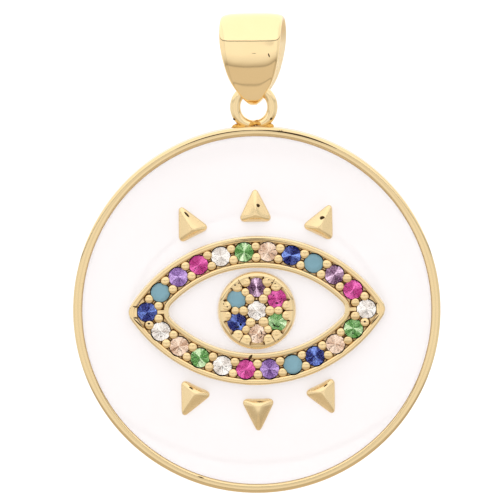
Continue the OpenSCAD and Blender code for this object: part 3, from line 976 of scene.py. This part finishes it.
stone_lean = 3
stone_slots = {s["node"]: s["material_slot"] for s in frame["record"]["subparts"]}
for node in border + iris_ring + ["iris_stone_center"]:
    at = stone_place(node)
    bm = brilliant()
    toward = Vector((dice.uniform(-1, 1), dice.uniform(-1, 1), 0)).normalized()
    lean = math.radians(dice.uniform(0, stone_lean))
    set_by_hand = (Matrix.Translation((at.x, at.y, girdle_h)) @ Matrix.Rotation(lean, 4, toward)
                   @ Matrix.Rotation(dice.uniform(0, math.tau), 4, "Z"))
    slot = stone_slots[node]
    stone = placed("set_" + node, bm, on_face @ set_by_hand, gems[slot], 1)
    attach(stone, "pendant")
    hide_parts(node)

# Bail: a broad strip, nearly flat outside and domed inside, folded over so that its narrow ends
# meet under the ring's wire. The chain goes through it. It hangs turned a little to the left.
bail_turn = math.radians(-7)
bail_depth_scale = 0.978
crown_r = 1.35
bend_r = 0.6
bulge_r = 9.0
foot_t = 0.56
crown_t = 0.75
hinge_z = -4.37
bail_foot_z = hinge_z - bend_r - foot_t
bail_h = crown_t - bail_foot_z

# Height above the foot, half the strip's width and its thickness
bail_strip = [
    (0.0, 0.32, 0.56),
    (0.1, 0.46, 0.56),
    (0.2, 0.56, 0.56),
    (0.5, 0.82, 0.58),
    (0.8, 1.03, 0.60),
    (1.1, 1.22, 0.63),
    (1.6, 1.47, 0.68),
    (2.1, 1.65, 0.72),
    (2.8, 1.81, 0.75),
    (3.5, 1.96, 0.75),
    (4.3, 2.06, 0.75),
    (5.0, 2.12, 0.75),
    (6.3, 2.15, 0.75),
]


def along_strip(height):
    """Half width and thickness of the strip at a height above the foot."""
    height = min(max(height, 0), bail_strip[-1][0])
    for low, high in zip(bail_strip, bail_strip[1:]):
        if height <= high[0]:
            share = (height - low[0]) / (high[0] - low[0])
            return [a + (b - a) * share for a, b in zip(low[1:], high[1:])]


def side_line():
    """The strip's middle line up the back, as points with the way out: foot, bulge and crown arcs."""
    foot_r = bend_r + foot_t / 2
    top_r = crown_r + crown_t / 2
    foot = Vector((0, hinge_z))
    top = Vector((0, -crown_r))
    rise = top.y - foot.y
    to_foot = bulge_r - foot_r
    to_top = bulge_r - top_r
    up = (to_foot ** 2 - to_top ** 2 + rise ** 2) / (2 * rise)
    centre = foot + Vector((-math.sqrt(to_foot ** 2 - up ** 2), up))
    foot_turn = math.degrees(math.atan2(foot.y - centre.y, foot.x - centre.x))
    top_turn = math.degrees(math.atan2(top.y - centre.y, top.x - centre.x))
    line = []
    for middle, radius, start, end, steps in ((foot, foot_r, -90, foot_turn, 8),
                                              (centre, bulge_r, foot_turn, top_turn, 8),
                                              (top, top_r, top_turn, 90, 12)):
        for i in range(steps):
            angle = math.radians(start + (end - start) * i / steps)
            out = Vector((math.cos(angle), math.sin(angle)))
            line.append((middle + radius * out, out))
    line.append((top + Vector((0, top_r)), Vector((0, 1))))
    return line


half_line = side_line()
whole_line = half_line + [(Vector((-p.x, p.y)), Vector((-out.x, out.y))) for p, out in half_line[-2:0:-1]]


def section_place(point, out):
    """Where the strip's unit section goes: across, out from the line, and along it."""
    low = bail_foot_z + foot_t / 2
    half_w, thick = along_strip(bail_h * (point.y - low) / (crown_t / 2 - low))
    return Matrix(((half_w, 0, 0, 0), (0, thick / 2 * out.x, -out.y, point.x),
                   (0, thick / 2 * out.y, out.x, point.y), (0, 0, 0, 1)))


# Powers that turn a circle into the strip's section, across and out, on its two sides
outer_swell = (0.5, 0.8)
inner_swell = (1.0, 1.2)
bm = bmesh.new()
bmesh.ops.create_circle(bm, segments=32, radius=1)
for vert in bm.verts:
    x, y = vert.co.x, vert.co.y
    across, out = outer_swell if y > 0 else inner_swell
    vert.co.x = math.copysign(abs(x) ** across, x)
    vert.co.y = math.copysign(abs(y) ** out, y)
places = [section_place(*station) for station in whole_line]
bmesh.ops.transform(bm, matrix=places[0], verts=bm.verts)
first = bm.edges[:]
last = first
for before, after in zip(places, places[1:]):
    grown = bmesh.ops.extrude_edge_only(bm, edges=last)["geom"]
    last = [g for g in grown if isinstance(g, bmesh.types.BMEdge)]
    verts = [g for g in grown if isinstance(g, bmesh.types.BMVert)]
    bmesh.ops.transform(bm, matrix=after @ before.inverted(), verts=verts)
bmesh.ops.bridge_loops(bm, edges=last + first)
bmesh.ops.recalc_face_normals(bm, faces=bm.faces)
bail_place = Matrix.Rotation(bail_turn, 4, "Z") @ Matrix.Diagonal((MM, bail_depth_scale * MM, MM, 1))
opening = Vector((0, (hinge_z - crown_r) / 2))
for face in bm.faces:
    face.material_index = int(face.normal.yz.dot(opening - face.calc_center_median().yz) > 0)
bail_gold = gold_plate("bail_gold", brightness=1.0, roughness=0.06, waviness=0.004, shade_and_polish=0)
inside_gold = gold_plate("inside_gold", brightness=1.0, roughness=0.5, waviness=0.01, shade_and_polish=0,
                         tint=(1.04, 1.13, 1.35))
bail = placed("bail_loop", bm, bail_place, (bail_gold, inside_gold), 180)
smooth = bail.modifiers.new("smooth", "SUBSURF")
smooth.levels = 2
smooth.render_levels = 2
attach(bail, "bail")
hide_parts("bail")

# Marks: thin dark lines, dashes and spots laid on the metal. The thin dark lines that follow the crowns
# of the rim and the upper lid, the wavy line on the rim and the dashes and spots on the lashes are painted
# reflections. More dashes run to the eye's corners, and small dark spots sit there, on the iris and on the
# ring.
depsgraph = bpy.context.evaluated_depsgraph_get()
marked = (plate, eye_frame, border_beads, holders, iris_setting, iris_beads, lash_spikes, ring, bail)
surfaces = [BVHTree.FromObject(piece, depsgraph) for piece in marked]
clear_h = 5
mark_brown = (0.05, 0.026, 0.007, 1)
to_face = on_face.inverted()
mark_dark = bpy.data.materials.new("mark_dark")
mark_dark.use_nodes = True
shader = mark_dark.node_tree.nodes["Principled BSDF"]
shader.inputs["Base Color"].default_value = mark_brown
shader.inputs["Roughness"].default_value = 0.6
shader.inputs["Specular IOR Level"].default_value = 0.1


def top_of(x, y):
    """The point of the finished metal that is seen from the front at (x, y) on the face."""
    start = on_face @ Vector((x, y, clear_h))
    hits = [tree.ray_cast(start, Vector((0, 1, 0)))[0] for tree in surfaces]
    return max((to_face @ hit for hit in hits if hit), key=lambda hit: hit.z)


def add_line(bm, path, width, ends=0.3):
    """A thin dark line laid along a path on the metal, half sunk in it and finer at its ends."""
    spots = [top_of(x, y) for x, y in path]
    places = []
    for i, spot in enumerate(spots):
        run = spots[min(i + 1, len(spots) - 1)] - spots[max(i - 1, 0)]
        share = math.sin(math.pi * i / (len(spots) - 1))
        half = width / 2 * (ends + (1 - ends) * share)
        places.append(Matrix.Translation(spot) @ run.to_track_quat("Z", "Y").to_matrix().to_4x4()
                      @ Matrix.Diagonal((half, half, half, 1)))
    before = set(bm.edges)
    bmesh.ops.create_circle(bm, cap_ends=True, segments=6, radius=1, matrix=places[0])
    last = [e for e in bm.edges if e not in before]
    for was, now in zip(places, places[1:]):
        grown = bmesh.ops.extrude_edge_only(bm, edges=last)["geom"]
        last = [g for g in grown if isinstance(g, bmesh.types.BMEdge)]
        verts = [g for g in grown if isinstance(g, bmesh.types.BMVert)]
        bmesh.ops.transform(bm, matrix=now @ was.inverted(), verts=verts)
    bmesh.ops.holes_fill(bm, edges=last)


def straight(start, end, steps=6):
    """A straight path in even steps."""
    return [Vector(start).lerp(Vector(end), i / steps) for i in range(steps + 1)]


# Dark lines round the rim, as angles from and to and a width, and on the upper lid, as an inset and angles:
# painted reflections on the crowns
rim_line_r = rim_mid_r + 0.11
rim_lines = [(116, 88, 0.07), (90, 63, 0.12)]
lid_lines = [(0.33, 103, 76), (0.25, 98, 84)]
lid_line_w = 0.05

# A wavy dark line on the rim, a painted reflection: where it starts, its step, its wave and its width
wavy_line_from = Vector((1.6, 12.17))
wavy_line_step = 0.06
wavy_line_wave = 0.07
wavy_line_w = 0.1

# Short dark dashes from point to point with their width: on the rim, the lashes, where they are painted
# reflections, the eye's corners and the lower lid
dashes = [((-4.17, -11.28), (-3.77, -11.42), 0.09),
          ((-4.82, 6.80), (-4.50, 6.44), 0.16), ((-4.67, -5.13), (-4.41, -5.30), 0.13),
          ((-0.11, -6.22), (0.35, -6.23), 0.08), ((4.47, -5.27), (4.74, -5.06), 0.1),
          ((-6.8, 0.15), (-6.42, 0.15), 0.06), ((-6.8, -0.15), (-6.42, -0.15), 0.06),
          ((-8.42, 0.42), (-8.1, 0.36), 0.11), ((-8.4, -0.36), (-8.1, -0.36), 0.1),
          ((-8.37, -0.42), (-7.7, -1.08), 0.11), ((7.72, -1.07), (8.28, -0.42), 0.09),
          ((-0.6, -3.32), (-0.36, -2.99), 0.22)]

# Small dark spots with their radius: on two lashes, where they are painted reflections, at the eye's
# corners, on the iris and on the ring's sides
dark_spots = [(0.16, 7.16, 0.16), (4.54, 6.25, 0.18), (7.32, -0.85, 0.09), (-7.35, -0.76, 0.09),
        (8.15, 0.35, 0.06), (8.17, -0.33, 0.06), (-1.66, 1.97, 0.05), (-1.45, 1.78, 0.07),
        (-1.2, 1.9, 0.06), (-1.06, 1.66, 0.05), (0.85, 2.12, 0.05), (1.05, 1.9, 0.06), (1.27, 1.84, 0.05),
        (-2.25, 0.5, 0.05), (-2.0, 0.3, 0.06), (2.2, 0.66, 0.05), (1.42, -1.99, 0.05),
        (-1.32, 13.0, 0.11), (1.15, 13.0, 0.11)]
bm = bmesh.new()
for start, end, width in rim_lines:
    add_line(bm, arc((0, 0), rim_line_r, start, end, 60), width)
wavy_line = [wavy_line_from + Vector((wavy_line_step * i, wavy_line_wave * (-1) ** i)) for i in range(7)]
add_line(bm, wavy_line, wavy_line_w)
for inset, start, end in lid_lines:
    add_line(bm, arc((0, -eye_c), eye_r - inset, start, end, 40), lid_line_w)
for start, end, width in dashes:
    add_line(bm, straight(start, end), width)
for x, y, radius in dark_spots:
    bmesh.ops.create_icosphere(bm, subdivisions=2, radius=radius, matrix=Matrix.Translation(top_of(x, y))
                               @ Matrix.Diagonal((1, 0.8, 0.25, 1)))
bmesh.ops.recalc_face_normals(bm, faces=bm.faces)
face_marks = placed("face_marks", bm, on_face, mark_dark, 180)
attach(face_marks, "pendant")
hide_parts("case")

# Bail marks: one small dark dash near the right edge of the bail's front and a faint thin dark line.
# They ride on the bail, because it doesn't swing with the disc.
bail_marks = [((1.02, 17.54), (1.12, 17.26), 0.10), ((-0.1, 17.55), (0.22, 17.54), 0.035)]
bm = bmesh.new()
for start, end, width in bail_marks:
    add_line(bm, straight(start, end), width)
bmesh.ops.recalc_face_normals(bm, faces=bm.faces)
bail_mark = placed("bail_mark", bm, on_face, mark_dark, 180)
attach(bail_mark, "bail")
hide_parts("bail")
